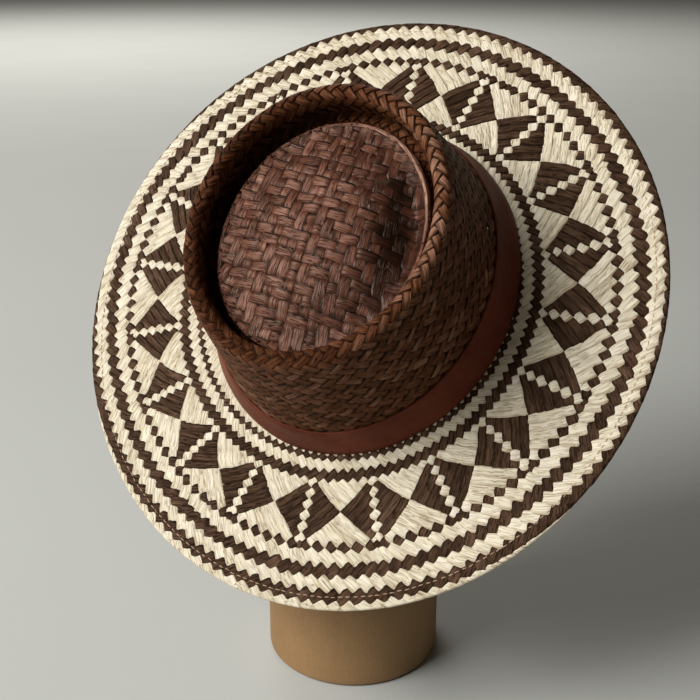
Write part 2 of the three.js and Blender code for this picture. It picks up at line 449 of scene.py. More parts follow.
# Stitches that hold the folded edge, on both faces
edgeStitches = {
    "inset": 7.5, "length": 3.2, "gap": 0.8, "wide": 0.45, "thick": 0.4, "proud": 0.95, "sunk": 0.35,
    "spacingWander": 0.05, "insetWander": 0.12, "slantWander": 0.25, "crumple": 0.02, "toneSpread": 0.2,
    "taper": (0.5, 0.95, 1, 0.95, 0.5),
}


def buildStitches(material):
    bundle = Bundle(flatSection)
    mean = (brim["halfX"] + brim["halfY"]) / 2 - edgeStitches["inset"]
    count = round(2 * math.pi * mean / (edgeStitches["length"] + edgeStitches["gap"]))
    fold = brim["foldRadius"]
    steps = len(edgeStitches["taper"])
    t = np.linspace(-0.5, 0.5, steps)
    for face in ("top", "underside"):
        for i in range(count):
            middle = 2 * math.pi * (i + rng.normal(0, edgeStitches["spacingWander"])) / count
            angle = middle + t * edgeStitches["length"] / mean
            radius = brimEdgeRadius(angle, edgeStitches["inset"])
            if face == "underside":
                foldAt = brimEdgeRadius(angle, fold + wall["thick"] / 2)
                radius = 2 * foldAt - radius + math.pi * fold
            radius = radius + rng.normal(0, edgeStitches["insetWander"])
            radius = radius + t * rng.normal(0, edgeStitches["slantWander"])
            level = 1 - (2 * t) ** 4
            height = edgeStitches["proud"] * (edgeStitches["sunk"] + (1 - edgeStitches["sunk"]) * level)
            width = edgeStitches["wide"] * np.array(edgeStitches["taper"])
            tone = np.clip(rng.normal(0.5, edgeStitches["toneSpread"]), 0, 1)
            looks = (np.full(steps, tone), level, np.zeros(steps))
            addStrand(bundle, brimSurface, angle, radius, radius, height, width, edgeStitches["thick"],
                      looks, edgeStitches["crumple"])
    piece = bundle.toObject("edgeStitches", material, mirrored=True)
    print("edge stitched,", 2 * count, "stitches")


# Crown: one banded plait up the wall, over the rim and down into the groove, and a twilled tip
crown = {
    "strands": 60, "phase": 2.0, "clear": 4.55, "steepest": 3.12, "floatRows": 2, "atCrest": 1.5,
    "thick": 1.0, "lift": 0.62, "narrow": 1.02, "wide": 0.16, "crumple": 0.13, "roll": 0.16,
    "heightWander": 0.06, "sideWander": 0.12, "widthWander": 0.035,
    # painted highlight on the crest's lit side, painted shade on its shaded side and in the groove there;
    # which side is lit, and how wide
    "crestPaintedHighlight": 0.6, "crestPaintedShade": 0.75, "crestReach": 4.5, "litSideAngle": 22, "litSideSpread": 66,
    "groovePaintedShade": 0.9, "grooveFrom": 5, "grooveOver": 8,
    "filletSteps": 10, "sampleStep": 0.4, "endBelowTip": 0.2,
    "tipRight": 2.5, "tipBack": -3.2, "tipShiftOver": 4, "dentFrom": 1, "dentOver": 8,
    "rows": [
        {"name": "foot", "halfX": 89.2, "halfY": 99.5, "z": 0.1, "fillet": 0},
        {"name": "bandFoot", "halfX": 88.3, "halfY": 98.9, "z": 1.5, "fillet": 4},
        {"name": "bandTop", "halfX": 76.9, "halfY": 91.9, "z": 21, "fillet": 30},
        {"name": "rimOutside", "halfX": 68.4, "halfY": 77.4, "z": 93.4, "fillet": 5},
        {"name": "rimInside", "halfX": 60.2, "halfY": 68.8, "z": 93.4, "fillet": 4.6},
        {"name": "grooveOutside", "halfX": 59.2, "halfY": 68.6, "z": 72.6, "fillet": 2.4},
        {"name": "grooveInside", "halfX": 54.9, "halfY": 64.4, "z": 72.6, "fillet": 2.4},
        {"name": "tipEdge", "halfX": 54.6, "halfY": 64.1, "z": 81.9, "fillet": 1.2},
        {"name": "tipValley", "halfX": 49.5, "halfY": 59.5, "z": 79.8, "fillet": 5},
        {"name": "tipField", "halfX": 27, "halfY": 33, "z": 87.0, "fillet": 18},
        {"name": "tipMiddle", "halfX": 0, "halfY": 0, "z": 88.4, "fillet": 0},
    ],
}


def crownProfile():
    # the outer face walked from foot to middle: (mean radius, height, half the difference of the axes)
    corners = [np.array([(row["halfX"] + row["halfY"]) / 2, row["z"], (row["halfY"] - row["halfX"]) / 2])
               for row in crown["rows"]]
    walked = []
    for i, row in enumerate(crown["rows"]):
        if row["fillet"] == 0:
            walked.append(corners[i])
            continue
        ends = []
        for other in (corners[i - 1], corners[i + 1]):
            reach = np.hypot(*(other - corners[i])[:2])
            ends.append(corners[i] + (other - corners[i]) * min(0.5, row["fillet"] / reach))
        for t in np.linspace(0, 1, crown["filletSteps"] + 1):
            walked.append((1 - t) ** 2 * ends[0] + 2 * t * (1 - t) * corners[i] + t * t * ends[1])
    walked = np.array(walked)
    gone = np.concatenate([[0], np.cumsum(np.hypot(*np.diff(walked[:, :2], axis=0).T))])
    s = np.arange(0, gone[-1], crown["sampleStep"])
    return s, np.stack([np.interp(s, gone, walked[:, i]) for i in range(3)], -1)


profileAt, profileRows = crownProfile()
profileSlope = np.gradient(profileRows[:, :2], profileAt, axis=0)
profileSlope /= np.hypot(*profileSlope.T)[:, None]
crestAt = profileAt[np.argmax(profileRows[:, 1])]
tipEdge = next(row for row in crown["rows"] if row["name"] == "tipEdge")
tipMean = (tipEdge["halfX"] + tipEdge["halfY"]) / 2
tipMiddle = np.array([crown["tipRight"], wall["crownShift"] + crown["tipBack"]])
grooveAt = profileAt[np.argmax((profileAt > crestAt) & (np.gradient(profileRows[:, 1]) > 0))]
tipEdgeAt = profileAt[np.argmin(np.hypot(profileRows[:, 0] - tipMean, profileRows[:, 1] - tipEdge["z"]))]

# Hollows pressed into the tip: middle, reach and depth in mm
tipDents = [
    {"x": 47, "y": 13, "reach": 9, "deep": 8.5},
    {"x": 40, "y": 32, "reach": 8, "deep": 5},
    {"x": 51, "y": -5, "reach": 8, "deep": 4.5},
    {"x": -12, "y": 19, "reach": 5, "deep": 1.6},
]


def tipDent(x, y):
    sunk = 0
    for dent in tipDents:
        away = (x - dent["x"]) ** 2 + (y - dent["y"]) ** 2
        sunk = sunk + dent["deep"] * np.exp(-away / (2 * dent["reach"] ** 2))
    return sunk


def crownSurface(angle, s, height):
    r, z, oval = (np.interp(s, profileAt, profileRows[:, i]) for i in range(3))
    slopeR, slopeZ = (np.interp(s, profileAt, profileSlope[:, i]) for i in range(2))
    out = height - wall["thick"] / 2
    inTip = smooth((s - grooveAt) / crown["tipShiftOver"])
    x = (r - oval + slopeZ * out) * np.cos(angle) + crown["tipRight"] * inTip
    y = (r + oval + slopeZ * out) * np.sin(angle) + wall["crownShift"] + crown["tipBack"] * inTip
    dented = tipDent(x, y) * smooth((s - tipEdgeAt - crown["dentFrom"]) / crown["dentOver"])
    return np.stack([x, y, z - slopeR * out - dented], -1)


# How many crossings lie between the foot and each place on the profile
halfCell = math.pi * profileRows[:, 0] / crown["strands"]
halfClear = crown["clear"] / 2
rowPitch = halfCell * halfClear / np.sqrt(np.maximum(halfCell ** 2 - halfClear ** 2, 0.01))
rowPitch = np.minimum(rowPitch, crown["steepest"])
crossingAt = np.concatenate([[0], np.cumsum(np.diff(profileAt) / rowPitch[1:])])
crestCrossing = float(np.interp(crestAt, profileAt, crossingAt))
period = 2 * crown["floatRows"]
crossingAt += (crown["atCrest"] - crestCrossing) % period


def onSide(angle, middle, spread):
    # 1 on one side of the hat, fading to 0 round the other side; both in degrees
    away = np.degrees(np.angle(np.exp(1j * (angle - math.radians(middle)))))
    return np.exp(-(away / spread) ** 2)


def buildCrownWall(material):
    last = float(np.interp(tipEdgeAt - crown["endBelowTip"], profileAt, crossingAt))
    k = np.arange(math.ceil(crossingAt[0] * 3), math.floor(last * 3) + 1) / 3
    k = np.concatenate([[crossingAt[0]], k, [last]])
    s = np.interp(k, crossingAt, profileAt)
    r = np.interp(s, profileAt, profileRows[:, 0])
    fullWidth = strandWidth(2 * math.pi * r / crown["strands"], np.interp(s, profileAt, rowPitch))
    first = math.floor(k[0])
    rows = np.arange(first, math.ceil(k[-1]) + 2)
    rising = np.where(rows % period < crown["floatRows"], 1.0, -1.0)
    atCrest = np.exp(-((s - crestAt) / crown["crestReach"]) ** 2)
    inGroove = smooth((s - crestAt - crown["grooveFrom"]) / crown["grooveOver"])
    for lean, name in ((1, "crownRisingStrands"), (-1, "crownFallingStrands")):
        bundle = Bundle(foldedSection)
        for i in range(crown["strands"]):
            over = rising * lean
            level = weaveLevel(k, first, over)
            angle = 2 * math.pi * (i + lean * k / 2) / crown["strands"] + math.radians(crown["phase"])
            angle = angle + wander(len(k), crown["sideWander"]) / r
            wide = crown["wide"] * (0.5 + 0.5 * level)
            width = fullWidth * (crown["narrow"] + wide + wander(len(k), crown["widthWander"]))
            height = crown["lift"] * level + wander(len(k), crown["heightWander"])
            # painted light: a painted highlight along the crest on the lit side, painted shade on the crest
            # and down in the groove on the shaded side
            onLitSide = onSide(angle, crown["litSideAngle"], crown["litSideSpread"])
            paintedLight = atCrest * (crown["crestPaintedHighlight"] * onLitSide - crown["crestPaintedShade"] * (1 - onLitSide))
            paintedLight = paintedLight - crown["groovePaintedShade"] * inGroove * (1 - onLitSide)
            looks = (strandTone(k, first, over), level, paintedLight)
            addStrand(bundle, crownSurface, angle, s, r, height, width, crown["thick"], looks,
                      crown["crumple"], crown["roll"])
        piece = bundle.toObject(name, material)
        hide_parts("crown")
    print("crown wall plaited,", len(rows), "rows")


# The tip is a twill with slips in it. Its strands bend down over the edge, under a ridge of long ones
tip = {
    "half": 16,  # strands on each side of the middle one, both ways
    "pitch": 5.2, "lengthwaysTurn": 4.5, "crosswaysTurn": -0.5, "fan": 0.016, "overEdge": 4.5,
    "slips": 0.2, "misses": 0.05, "thick": 1.05, "lift": 0.66, "crumple": 0.2, "roll": 0.14,
    "roundedFrom": 0.93, "roundedOver": 0.07, "underRidge": 0.3, "shortest": 5,
    "lengthwaysWide": 1.06, "crosswaysWide": 1.0, "wide": 0.12,
    "heightWander": 0.08, "sideWander": 0.25, "widthWander": 0.05,
    # painted shade down the hollows' flanks and along the side that falls away from the light
    "hollowPaintedShade": 0.6, "sidePaintedShade": 0.75, "darkSide": 5, "darkSpread": 75, "darkFrom": 0.3, "darkOver": 0.5,
}
tipRidge = {
    "strands": 5, "overlap": 9, "steps": 46, "tuckedSteps": 5, "wide": 4.4, "thick": 1.3, "high": 0.8,
    # a painted highlight along the ridge's lit side: where it lies, how wide, and how strong
    "inset": 0.3, "litSideAngle": 50, "litSideSpread": 55, "paintedLight": 0.9, "tone": 0.45, "lift": 0.5,
    "pressed": 0.35, "tuckDeep": 1.2, "tuckNarrow": 0.2,  # how high it stands on its shaded side, and its tucks
    "heightWander": 0.04, "sideWander": 0.12, "crumple": 0.06,
}


def tipSurface(x, y, height):
    px, py = x - tipMiddle[0], y - tipMiddle[1]
    q = np.hypot(px / tipEdge["halfX"], py / tipEdge["halfY"])
    angle = np.arctan2(py / tipEdge["halfY"], px / tipEdge["halfX"])
    past = np.maximum(q - 1, 0) * tipMean
    folded = crownSurface(angle, tipEdgeAt - past, height)
    meanRadius = np.minimum(q, 1) * tipMean
    field = profileAt > tipEdgeAt
    s = np.interp(-meanRadius, -profileRows[field, 0], profileAt[field])
    rounded = crownSurface(angle, s, height)
    flat = rounded.copy()
    flat[..., 0], flat[..., 1] = x, y
    inward = smooth((q - tip["roundedFrom"]) / tip["roundedOver"])[..., None]
    return np.where(q[..., None] > 1, folded, flat * (1 - inward) + rounded * inward)


def twillChart(count):
    # over/under of the long strands: a stair that slips by a strand now and then
    lengthways, crossways = (np.cumsum(np.where(rng.random(count) < tip["slips"], 2, 1)) for _ in range(2))
    chart = (crossways[None] + lengthways[:, None]) % 4 < 2
    missed = rng.random((count, count)) < tip["misses"]
    return np.where(chart ^ missed, 1.0, -1.0)


def addTipRidge(bundle):
    # long strands laid along the tip's edge, each end tucked under the next one
    count, overlap, tuck = tipRidge["steps"], tipRidge["overlap"], tipRidge["tuckedSteps"]
    share = 360 / tipRidge["strands"]
    for i in range(tipRidge["strands"]):
        angle = np.radians(share * i + np.linspace(-overlap, share + overlap, count))
        s = tipEdgeAt + tipRidge["inset"] + wander(count, tipRidge["sideWander"])
        r = np.interp(s, profileAt, profileRows[:, 0])
        tucked = np.interp(np.arange(count), [0, tuck, count - 1 - tuck, count - 1], [1, 0, 0, 1])
        # 1 on the lit side, where the ridge stands full height and carries a painted highlight
        onLitSide = onSide(angle, tipRidge["litSideAngle"], tipRidge["litSideSpread"])
        stands = tipRidge["pressed"] + (1 - tipRidge["pressed"]) * onLitSide
        height = tipRidge["high"] * (stands - tipRidge["tuckDeep"] * tucked)
        height = height + wander(count, tipRidge["heightWander"])
        width = tipRidge["wide"] * (1 - tipRidge["tuckNarrow"] * tucked)
        tone, lift = (np.full(count, tipRidge[key]) for key in ("tone", "lift"))
        looks = (tone, lift, tipRidge["paintedLight"] * onLitSide)
        addStrand(bundle, crownSurface, angle, s, r, height, width, tipRidge["thick"], looks,
                  tipRidge["crumple"])


def buildTip(material):
    half = tip["half"]
    chart = twillChart(2 * half + 1)
    a, c = math.radians(tip["lengthwaysTurn"]), math.radians(tip["crosswaysTurn"])
    lengthways = np.array([-math.sin(a), math.cos(a)])
    crossways = np.array([math.cos(c), math.sin(c)])
    bundle = Bundle(foldedSection)
    t = np.arange(-half * 3, half * 3 + 1) / 3
    for along, levels in (("lengthways", chart), ("crossways", -chart.T)):
        for j in range(-half + 1, half):
            column, row = (np.full_like(t, j), t) if along == "lengthways" else (t, np.full_like(t, j))
            fan = 1 - tip["fan"] * row  # the long strands fan out towards the front
            fromMiddle = ((column * fan)[:, None] * crossways + row[:, None] * lengthways) * tip["pitch"]
            q = np.hypot(fromMiddle[:, 0] / tipEdge["halfX"], fromMiddle[:, 1] / tipEdge["halfY"])
            keep = q < 1 + tip["overEdge"] / tipMean
            if keep.sum() < tip["shortest"]:
                continue
            points = fromMiddle[keep] + tipMiddle
            over = levels[j + half]
            level = weaveLevel(t, -half, over)[keep]
            count = int(keep.sum())
            woven = smooth((1 - q[keep]) * tipMean / tipRidge["wide"])  # flatter under the ridge
            height = tip["lift"] * level + wander(count, tip["heightWander"])
            height = height * (tip["underRidge"] + (1 - tip["underRidge"]) * woven)
            sideways = crossways if along == "lengthways" else lengthways
            x, y = (points + sideways * wander(count, tip["sideWander"])[:, None]).T
            wide = tip[along + "Wide"] + tip["wide"] * (0.5 + 0.5 * level)
            width = tip["pitch"] * (wide + wander(count, tip["widthWander"]))
            width = width * (fan[keep] if along == "lengthways" else 1)
            # painted shade down the flank of a hollow and along the side that falls away from the light
            flank = np.clip(tipDent(x + 1, y) - tipDent(x - 1, y), 0, 1)
            angle = np.arctan2(y - tipMiddle[1], x - tipMiddle[0])
            fallen = smooth((q[keep] - tip["darkFrom"]) / tip["darkOver"])
            fallen = fallen * onSide(angle, tip["darkSide"], tip["darkSpread"])
            paintedLight = -tip["hollowPaintedShade"] * flank - tip["sidePaintedShade"] * fallen
            looks = (strandTone(t[keep], -half, over), level, paintedLight)
            addStrand(bundle, tipSurface, x, y, np.ones(count), height, width, tip["thick"], looks,
                      tip["crumple"], tip["roll"])
    addTipRidge(bundle)
    piece = bundle.toObject("crownTip", material)
    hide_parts("crown")
    print("tip woven")


# Smooth pieces turned from a section, with seeded unevenness
def turnedMesh(name, rings):
    # rings: (rows, around, 3) of points on a closed section; rows wrap round
    rows, around = rings.shape[:2]
    index = np.arange(rows * around).reshape(rows, around)
    below, right = np.roll(index, -1, axis=0), np.roll(index, -1, axis=1)
    faces = np.stack([index, right, np.roll(below, -1, axis=1), below], -1).reshape(-1, 4)
    mesh = bpy.data.meshes.new(name)
    mesh.from_pydata(rings.reshape(-1, 3).tolist(), [], faces.tolist())
    return mesh


band = {
    "height": 21, "clear": 0.3, "thick": 1.2, "around": 240, "foot": 0.4,
    "rows": [1.2, 3, 6, 9, 12, 15, 18, 19.6, 20.3], "bead": 0.25, "beadAt": 20.3, "beadReach": 0.7,
    "edgeThick": 0.45, "edgeSharp": 9, "wallReach": 8,
    "slow": 0.16, "slowTurn": 0.3, "quick": 0.1, "quickTurn": 0.9, "lift": 0.25,  # unevenness, in mm
}


def buildBand(material):
    angle = np.linspace(0, 2 * math.pi, band["around"], endpoint=False)
    z = profileRows[:, 1]
    upTo = np.argmax(z > band["height"] + band["wallReach"])
    heights = np.array([band["foot"], *band["rows"], band["height"]])
    r = np.interp(heights, z[:upTo], profileRows[:upTo, 0])
    oval = np.interp(heights, z[:upTo], profileRows[:upTo, 2])
    t = (heights - heights[0]) / (heights[-1] - heights[0])
    full = smooth(np.minimum(t, 1 - t) * band["edgeSharp"])
    proud = band["clear"] + band["thick"] * (band["edgeThick"] + (1 - band["edgeThick"]) * full)
    proud = proud + band["bead"] * np.exp(-((heights - band["beadAt"]) / band["beadReach"]) ** 2)
    outside = np.stack([r, oval, heights, proud], -1)
    inside = np.stack([r, oval, heights, np.full(len(r), band["clear"])], -1)[::-1]
    rings = []
    for face, unevenShare in ((outside, 1), (inside, 0)):
        for row, (mean, half, height, out) in enumerate(face):
            uneven = band["slow"] * np.sin(3 * angle + row * band["slowTurn"])
            uneven = uneven + band["quick"] * np.sin(11 * angle + row * band["quickTurn"])
            reach = mean + out + uneven * unevenShare
            x = (reach - half) * np.cos(angle)
            y = (reach + half) * np.sin(angle) + wall["crownShift"]
            lift = band["lift"] * np.sin(2 * angle + 1) * height / band["height"]
            rings.append(np.stack([x, y, height + lift], -1))
    mesh = turnedMesh("hatBand", hatToScene(np.array(rings)))
    piece = toPiece(mesh, material)
    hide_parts("hat_band")
    print("band fitted")


stand = {
    "radius": 54, "height": 297.4, "footRound": 3, "topRound": 1.5, "around": 144, "rows": 24,
    "footSteps": 6, "topSteps": 4, "capRing": 0.5,
    "slow": 0.09, "quick": 0.06, "inward": 0.1, "endReach": 12,  # unevenness in mm, none at the ends
    "slowTurn": 60, "quickTurn": 35,
    "seamAt": -97.5, "seamLean": 0.045, "seamFrom": 60, "seamDeep": 0.28, "seamWide": 0.8,
}


def standSeam(z):
    # the paper's seam leans a little
    return math.radians(stand["seamAt"] - stand["seamLean"] * (stand["seamFrom"] - z))


def buildStand(material):
    angle = np.linspace(0, 2 * math.pi, stand["around"], endpoint=False)
    outline = [(0.0, 0.0), (stand["radius"] * stand["capRing"], 0.0)]
    for t in np.linspace(-math.pi / 2, 0, stand["footSteps"]):
        outline.append((stand["radius"] + stand["footRound"] * (math.cos(t) - 1),
                        stand["footRound"] * (math.sin(t) + 1)))
    for z in np.linspace(stand["footRound"], stand["height"] - stand["topRound"], stand["rows"])[1:-1]:
        outline.append((stand["radius"], z))
    for t in np.linspace(0, math.pi / 2, stand["topSteps"]):
        outline.append((stand["radius"] + stand["topRound"] * (math.cos(t) - 1),
                        stand["height"] + stand["topRound"] * (math.sin(t) - 1)))
    outline += [(stand["radius"] * stand["capRing"], stand["height"]), (0.0, stand["height"])]
    body = []
    for r, z in outline[1:-1]:
        onWall = smooth(min(z, stand["height"] - z) / stand["endReach"])
        uneven = stand["slow"] * np.sin(3 * angle + z / stand["slowTurn"])
        uneven = uneven + stand["quick"] * np.sin(7 * angle - z / stand["quickTurn"])
        fromSeam = np.angle(np.exp(1j * (angle - standSeam(z)))) * r
        seam = stand["seamDeep"] * np.exp(-(fromSeam / stand["seamWide"]) ** 2)
        reach = r + onWall * (uneven - stand["inward"] - seam)
        body.append(np.stack([reach * np.cos(angle), reach * np.sin(angle), np.full_like(angle, z)], -1))
    body = np.array(body) * mm
    rows, around = body.shape[:2]
    index = np.arange(rows * around).reshape(rows, around)
    right = np.roll(index, -1, axis=1)
    faces = np.stack([index[:-1], right[:-1], right[1:], index[1:]], -1).reshape(-1, 4).tolist()
    bottom, top = rows * around, rows * around + 1
    faces += [[bottom, right[0, i], index[0, i]] for i in range(around)]
    faces += [[top, index[-1, i], right[-1, i]] for i in range(around)]
    points = body.reshape(-1, 3).tolist() + [[0, 0, 0], [0, 0, stand["height"] * mm]]
    mesh = bpy.data.meshes.new("roundStand")
    mesh.from_pydata(points, [], faces)
    piece = toPiece(mesh, material)
    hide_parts("stand")
    print("stand turned")


# Materials. A small helper places a node, sets its values and joins its inputs.
def addNode(tree, kind, inputs=None, **settings):
    node = tree.nodes.new(kind)
    for key, value in settings.items():
        setattr(node, key, value)
    for key, value in (inputs or {}).items():
        if isinstance(value, bpy.types.NodeSocket):
            tree.links.new(value, node.inputs[key])
        else:
            node.inputs[key].default_value = value
    return node


def addMath(tree, operation, a, b=0.0, c=0.0):
    return addNode(tree, "ShaderNodeMath", {0: a, 1: b, 2: c}, operation=operation).outputs[0]


def addRange(tree, value, given, wanted, curve="LINEAR"):
    return addNode(tree, "ShaderNodeMapRange", {
        "Value": value, "From Min": given[0], "From Max": given[1], "To Min": wanted[0], "To Max": wanted[1],
    }, interpolation_type=curve).outputs["Result"]


def addNoise(tree, vector, scale, detail, roughness=0.5):
    return addNode(tree, "ShaderNodeTexNoise", {
        "Vector": vector, "Scale": scale, "Detail": detail, "Roughness": roughness}).outputs["Fac"]


def addRamp(tree, value, stops):
    node = addNode(tree, "ShaderNodeValToRGB", {"Fac": value})
    ramp = node.color_ramp
    while len(ramp.elements) < len(stops):
        ramp.elements.new(0.5)
    for element, (position, color) in zip(ramp.elements, stops):
        element.position = position
        element.color = (*color, 1)
    return node.outputs["Color"]


def newMaterial(name):
    material = bpy.data.materials.new(name)
    material.use_nodes = True
    return material, material.node_tree


def newGroup(name, inputs, outputs):
    tree = bpy.data.node_groups.new(name, "ShaderNodeTree")
    for label, default in inputs:
        socket = tree.interface.new_socket(name=label, in_out="INPUT", socket_type="NodeSocketFloat")
        socket.default_value = default
    for label in outputs:
        tree.interface.new_socket(name=label, in_out="OUTPUT", socket_type="NodeSocketFloat")
    return tree, tree.nodes.new("NodeGroupInput"), tree.nodes.new("NodeGroupOutput")


fibreLook = {
    "fibre": 0.11, "crease": 0.07, "blotchAcross": 0.7, "roughness": 0.6,
    "creaseWide": 0.045, "edgeFrom": 0.62, "creaseDeep": 0.8, "blotchHigh": 0.5,
}


def strawFibreGroup():
    # fibres, sharp creases, slow blotches and painted shade along the edges of one flat strand, from its own
    # lengthwise map
    tree, given, out = newGroup(
        "strawFibre", [("Fibres", 7.0), ("Creases", 3.0), ("Blotches", 0.12), ("Edge Painted Shade", 0.5)],
        ["Fibre", "Crease", "Blotch", "Edge", "Height"])
    strandMap = addNode(tree, "ShaderNodeUVMap", uv_map="strand").outputs["UV"]
    split = addNode(tree, "ShaderNodeSeparateXYZ", {0: strandMap})
    along, across = split.outputs["X"], split.outputs["Y"]

    def stretched(alongScale, acrossScale, seed, detail):
        vector = addNode(tree, "ShaderNodeCombineXYZ", {
            0: addMath(tree, "MULTIPLY", along, alongScale),
            1: addMath(tree, "MULTIPLY", across, acrossScale), 2: seed}).outputs[0]
        return addNoise(tree, vector, 1.0, detail, fibreLook["roughness"])

    fibre = stretched(fibreLook["fibre"], given.outputs["Fibres"], 0.0, 3.0)
    creaseNoise = stretched(fibreLook["crease"], given.outputs["Creases"], 5.1, 1.0)
    fromCrease = addMath(tree, "ABSOLUTE", addMath(tree, "SUBTRACT", creaseNoise, 0.5))
    crease = addRange(tree, fromCrease, (0.0, fibreLook["creaseWide"]), (1.0, 0.0), "SMOOTHSTEP")
    blotch = stretched(given.outputs["Blotches"], fibreLook["blotchAcross"], 3.7, 2.0)
    # painted shade along the strand's edges, where it meets its neighbours
    edge = addMath(tree, "ABSOLUTE", across)
    edge = addRange(tree, edge, (fibreLook["edgeFrom"], 1.0), (0.0, 1.0), "SMOOTHSTEP")
    edge = addMath(tree, "MULTIPLY", edge, given.outputs["Edge Painted Shade"])
    height = addMath(tree, "MULTIPLY_ADD", blotch, fibreLook["blotchHigh"], fibre)
    height = addMath(tree, "MULTIPLY_ADD", crease, -fibreLook["creaseDeep"], height)
    made = {"Fibre": fibre, "Crease": crease, "Blotch": blotch, "Edge": edge, "Height": height}
    for label, value in made.items():
        tree.links.new(value, out.inputs[label])
    return tree


fibreGroup = strawFibreGroup()


def finished(material, color, rough, height, look):
    # joins the made values to the shader; gloss is the same all over and sits on its sockets
    tree = material.node_tree
    shader = tree.nodes["Principled BSDF"]
    bump = addNode(tree, "ShaderNodeBump", {
        "Height": height, "Strength": look["bump"], "Distance": look["depth"] * mm}).outputs["Normal"]
    for label, value in (("Base Color", color), ("Roughness", rough), ("Normal", bump)):
        tree.links.new(value, shader.inputs[label])
    shader.inputs["Specular IOR Level"].default_value = look["specular"]
    shader.inputs["Specular Tint"].default_value = (*look["tint"], 1)
    return material


def strawMaterial(look):
    material, tree = newMaterial(look["name"])
    fibre = addNode(tree, "ShaderNodeGroup", node_tree=fibreGroup)
    for label in ("Fibres", "Creases", "Blotches", "Edge Painted Shade"):
        fibre.inputs[label].default_value = look[label]
    tone, lift, paintedLight = (addNode(tree, "ShaderNodeAttribute", attribute_name=key).outputs["Fac"]
                        for key in ("tone", "lift", "paintedLight"))
    mixed = addMath(tree, "MULTIPLY_ADD", tone, look["toneShare"], look["base"])
    mixed = addMath(tree, "MULTIPLY_ADD", addMath(tree, "SUBTRACT", fibre.outputs["Fibre"], 0.5),
                    look["fibreShare"], mixed)
    mixed = addMath(tree, "MULTIPLY_ADD", addMath(tree, "SUBTRACT", fibre.outputs["Blotch"], 0.5),
                    look["blotchShare"], mixed)
    # painted shade: floats that dive under their neighbours are darker
    mixed = addMath(tree, "MULTIPLY_ADD", lift, look["liftShadeShare"], mixed)
    # painted shade in the creases
    mixed = addMath(tree, "MULTIPLY_ADD", fibre.outputs["Crease"], -look["creaseShadeShare"], mixed)
    # painted highlights and shade laid on the strand
    mixed = addMath(tree, "MULTIPLY_ADD", paintedLight, straw["paintedLightShare"], mixed)
    color = addRamp(tree, mixed, look["stops"])
    # painted shade along the edges
    color = addNode(tree, "ShaderNodeMix", {
        "Factor": fibre.outputs["Edge"], 6: color, 7: (*look["edgeShadeColor"], 1)},
        data_type="RGBA", blend_type="MIX").outputs[2]
    rough = addRange(tree, fibre.outputs["Fibre"], (0.0, 1.0), look["rough"])
    return finished(material, color, rough, fibre.outputs["Height"], look)


# edge colours are the painted shade along each strand's edges
creamLook = {
    "name": "creamStraw", "Fibres": 5.0, "Creases": 3.0, "Blotches": 0.05, "Edge Painted Shade": 0.5, "base": 0.34,
    "toneShare": 0.36, "fibreShare": 0.8, "blotchShare": 0.45, "creaseShadeShare": 0.42, "liftShadeShare": 0.05,
    "rough": (0.5, 0.7), "bump": 0.8, "depth": 0.35, "specular": 0.25, "tint": (1.0, 0.95, 0.88),
    "edgeShadeColor": (0.30, 0.20, 0.11),
    "stops": [(0.0, (0.30, 0.22, 0.14)), (0.3, (0.63, 0.55, 0.40)), (0.6, (0.76, 0.69, 0.54)),
              (1.0, (0.84, 0.76, 0.66))],
}
brownLook = {
    "name": "brownStraw", "Fibres": 5.0, "Creases": 4.0, "Blotches": 0.07, "Edge Painted Shade": 0.9, "base": 0.32,
    "toneShare": 0.45, "fibreShare": 0.8, "blotchShare": 0.6, "creaseShadeShare": 0.5, "liftShadeShare": 0.05,
    "rough": (0.45, 0.65), "bump": 0.9, "depth": 0.45, "specular": 0.16, "tint": (1.0, 0.75, 0.6),
    "edgeShadeColor": (0.008, 0.003, 0.001),
    "stops": [(0.0, (0.009, 0.004, 0.001)), (0.4, (0.041, 0.020, 0.010)), (0.75, (0.086, 0.046, 0.026)),
              (1.0, (0.155, 0.090, 0.058))],
}
tipLook = {
    "name": "tipStraw", "Fibres": 4.0, "Creases": 3.0, "Blotches": 0.07, "Edge Painted Shade": 1.0, "base": 0.24,
    "toneShare": 0.5, "fibreShare": 0.6, "blotchShare": 0.6, "creaseShadeShare": 0.55, "liftShadeShare": 0.14,
    "rough": (0.36, 0.52), "bump": 0.7, "depth": 0.4, "specular": 0.36, "tint": (1.0, 0.7, 0.56),
    "edgeShadeColor": (0.006, 0.002, 0.001),
    "stops": [(0.0, (0.010, 0.003, 0.001)), (0.4, (0.069, 0.022, 0.012)), (0.75, (0.150, 0.059, 0.037)),
              (1.0, (0.30, 0.165, 0.115))],
}
crownLook = {
    **tipLook, "name": "crownStraw", "base": 0.3, "rough": (0.42, 0.6), "specular": 0.1,
    "tint": (1.0, 0.55, 0.35),
    "stops": [(0.0, (0.012, 0.003, 0.001)), (0.4, (0.078, 0.025, 0.009)), (0.75, (0.145, 0.057, 0.028)),
              (1.0, (0.28, 0.150, 0.100))],
}
threadLook = {
    "name": "paleThread", "Fibres": 3.0, "Creases": 1.0, "Blotches": 0.3, "Edge Painted Shade": 0.3, "base": 0.25,
    "toneShare": 0.5, "fibreShare": 0.4, "blotchShare": 0.3, "creaseShadeShare": 0.1, "liftShadeShare": 0.0,
    "rough": (0.7, 0.85), "bump": 0.5, "depth": 0.1, "specular": 0.2, "tint": (1.0, 1.0, 1.0),
    "edgeShadeColor": (0.26, 0.16, 0.10),
    "stops": [(0.0, (0.36, 0.23, 0.15)), (0.5, (0.52, 0.36, 0.25)), (1.0, (0.64, 0.49, 0.36))],
}
